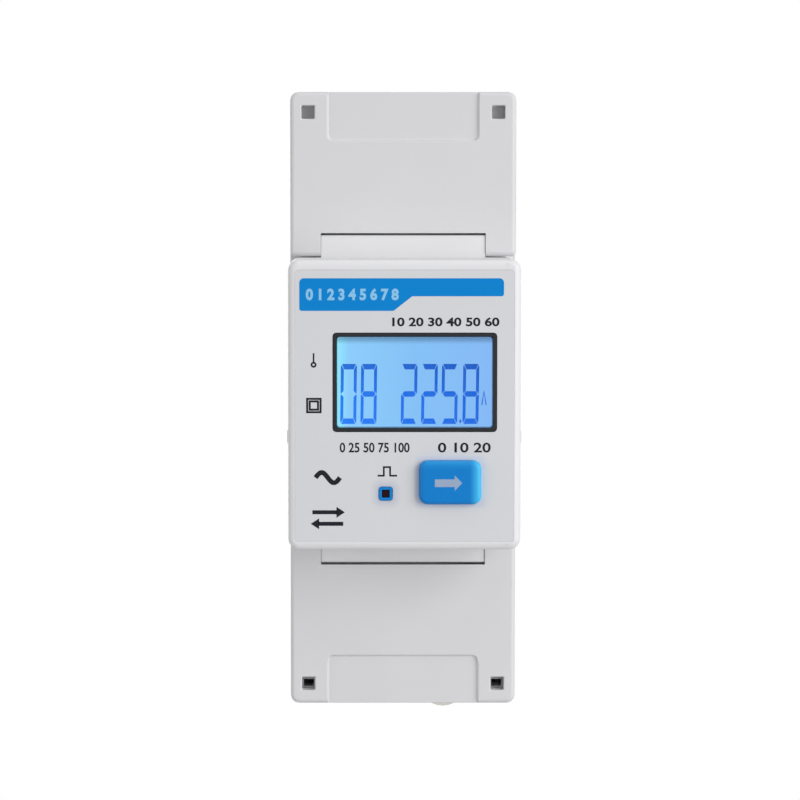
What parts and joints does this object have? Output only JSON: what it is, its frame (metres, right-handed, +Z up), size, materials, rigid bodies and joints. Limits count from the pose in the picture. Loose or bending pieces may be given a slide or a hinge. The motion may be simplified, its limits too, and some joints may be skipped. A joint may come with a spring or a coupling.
{
  "type": "smart electric meter",
  "caption": "Two-module rail-mounted energy meter with a lit display, push button, hinged terminal covers, screw clamps and a rail latch.",
  "frame": {"origin": "centre of the rail seat, the flat face of the rear housing that lies on the rail's flanges", "axes": "+Z up along the meter's height, front face towards -Y, +X to the right seen from the front"},
  "size_m": [0.0362, 0.0668, 0.1047],
  "materials": {
    "housing": "fine-grained white moulded plastic",
    "cover": "fine-grained white moulded plastic",
    "film": "printed polycarbonate film, satin",
    "black_plastic": "satin black",
    "clear_plastic": "clear, polished",
    "display": "liquid-crystal cell, lit blue",
    "light_guide": "opal light guide",
    "board": "green lacquered laminate",
    "button": "blue, satin",
    "light_pipe": "dark red, clear",
    "grey_plastic": "grey",
    "latch": "warm white nylon",
    "tape": "yellow polyester tape",
    "capacitor_sleeve": "shrunk sleeve",
    "blue_coating": "dipped epoxy",
    "contact_metal": "tinned",
    "clamp_steel": "zinc plated",
    "screw_steel": "zinc plated",
    "spring_steel": "drawn wire"
  },
  "bodies": {
    "root": {"rear_housing": "housing", "front_housing": "housing", "faceplate_film": "film", "display_bezel": "black_plastic", "display_window": "clear_plastic", "display_glass": "display", "display_backlight": "light_guide", "display_board": "board", "main_board": "board", "switch_body": "black_plastic", "pulse_bezel": "button", "pulse_light_pipe": "light_pipe", "pulse_lamp": "clear_plastic", "processor_chip": "black_plastic", "metering_chip": "black_plastic", "bus_isolator": "black_plastic", "display_socket": "grey_plastic", "main_socket": "grey_plastic", "ribbon_cable": "grey_plastic", "supply_transformer": "tape", "supply_capacitor": "capacitor_sleeve", "film_capacitor": "tape", "surge_protector": "blue_coating", "latch_spring": "spring_steel", "power_bar_1": "contact_metal", "power_bar_2": "contact_metal", "signal_bar_1": "contact_metal", "signal_bar_2": "contact_metal", "signal_bar_3": "contact_metal", "signal_bar_4": "contact_metal"},
    "upper_cover": {"upper_terminal_cover": "cover"},
    "lower_cover": {"lower_terminal_cover": "cover"},
    "button": {"push_button": "button", "switch_plunger": "grey_plastic"},
    "latch": {"rail_latch": "latch"},
    "power_cage_1": {"power_cage_1": "clamp_steel"},
    "power_screw_1": {"power_screw_1": "screw_steel"},
    "power_cage_2": {"power_cage_2": "clamp_steel"},
    "power_screw_2": {"power_screw_2": "screw_steel"},
    "signal_cage_1": {"signal_cage_1": "clamp_steel"},
    "signal_screw_1": {"signal_screw_1": "screw_steel"},
    "signal_cage_2": {"signal_cage_2": "clamp_steel"},
    "signal_screw_2": {"signal_screw_2": "screw_steel"},
    "signal_cage_3": {"signal_cage_3": "clamp_steel"},
    "signal_screw_3": {"signal_screw_3": "screw_steel"},
    "signal_cage_4": {"signal_cage_4": "clamp_steel"},
    "signal_screw_4": {"signal_screw_4": "screw_steel"}
  },
  "joints": [
    {"name": "upper_cover_hinge", "type": "hinge", "parent": "root", "child": "upper_cover", "pos_m": [0, -0.0421, 0.02425], "axis": [1, 0, 0], "range_deg": [0, 90]},
    {"name": "lower_cover_hinge", "type": "hinge", "parent": "root", "child": "lower_cover", "pos_m": [0, -0.0421, -0.02425], "axis": [-1, 0, 0], "range_deg": [0, 90]},
    {"name": "button_press", "type": "slide", "parent": "root", "child": "button", "axis": [0, 1, 0], "range_m": [0, 0.0008], "stiffness_N_per_m": 600, "springref_m": -0.0008},
    {"name": "latch_pull", "type": "slide", "parent": "root", "child": "latch", "axis": [0, 0, -1], "range_m": [0, 0.0035], "stiffness_N_per_m": 500, "springref_m": -0.004, "deforming": ["latch_spring"]},
    {"name": "power_screw_1_turn", "type": "hinge", "parent": "root", "child": "power_screw_1", "pos_m": [-0.0082, -0.034, 0.0415], "axis": [0, 1, 0], "range_deg": [0, 1810]},
    {"name": "power_cage_1_lift", "type": "slide", "parent": "root", "child": "power_cage_1", "axis": [0, -1, 0], "range_m": [0, 0.0035]},
    {"name": "power_screw_2_turn", "type": "hinge", "parent": "root", "child": "power_screw_2", "pos_m": [0.0082, -0.034, 0.0415], "axis": [0, 1, 0], "range_deg": [0, 1810]},
    {"name": "power_cage_2_lift", "type": "slide", "parent": "root", "child": "power_cage_2", "axis": [0, -1, 0], "range_m": [0, 0.0035]},
    {"name": "signal_screw_1_turn", "type": "hinge", "parent": "root", "child": "signal_screw_1", "pos_m": [-0.01185, -0.034, -0.0415], "axis": [0, 1, 0], "range_deg": [0, 1810]},
    {"name": "signal_cage_1_lift", "type": "slide", "parent": "root", "child": "signal_cage_1", "axis": [0, -1, 0], "range_m": [0, 0.0025]},
    {"name": "signal_screw_2_turn", "type": "hinge", "parent": "root", "child": "signal_screw_2", "pos_m": [-0.00395, -0.034, -0.0415], "axis": [0, 1, 0], "range_deg": [0, 1810]},
    {"name": "signal_cage_2_lift", "type": "slide", "parent": "root", "child": "signal_cage_2", "axis": [0, -1, 0], "range_m": [0, 0.0025]},
    {"name": "signal_screw_3_turn", "type": "hinge", "parent": "root", "child": "signal_screw_3", "pos_m": [0.00395, -0.034, -0.0415], "axis": [0, 1, 0], "range_deg": [0, 1810]},
    {"name": "signal_cage_3_lift", "type": "slide", "parent": "root", "child": "signal_cage_3", "axis": [0, -1, 0], "range_m": [0, 0.0025]},
    {"name": "signal_screw_4_turn", "type": "hinge", "parent": "root", "child": "signal_screw_4", "pos_m": [0.01185, -0.034, -0.0415], "axis": [0, 1, 0], "range_deg": [0, 1810]},
    {"name": "signal_cage_4_lift", "type": "slide", "parent": "root", "child": "signal_cage_4", "axis": [0, -1, 0], "range_m": [0, 0.0025]}
  ],
  "couplings": [
    {"joint": "power_screw_1_turn", "follows": "power_cage_1_lift", "rad_per_m": 8976},
    {"joint": "power_screw_2_turn", "follows": "power_cage_2_lift", "rad_per_m": 8976},
    {"joint": "signal_screw_1_turn", "follows": "signal_cage_1_lift", "rad_per_m": 12566},
    {"joint": "signal_screw_2_turn", "follows": "signal_cage_2_lift", "rad_per_m": 12566},
    {"joint": "signal_screw_3_turn", "follows": "signal_cage_3_lift", "rad_per_m": 12566},
    {"joint": "signal_screw_4_turn", "follows": "signal_cage_4_lift", "rad_per_m": 12566}
  ]
}
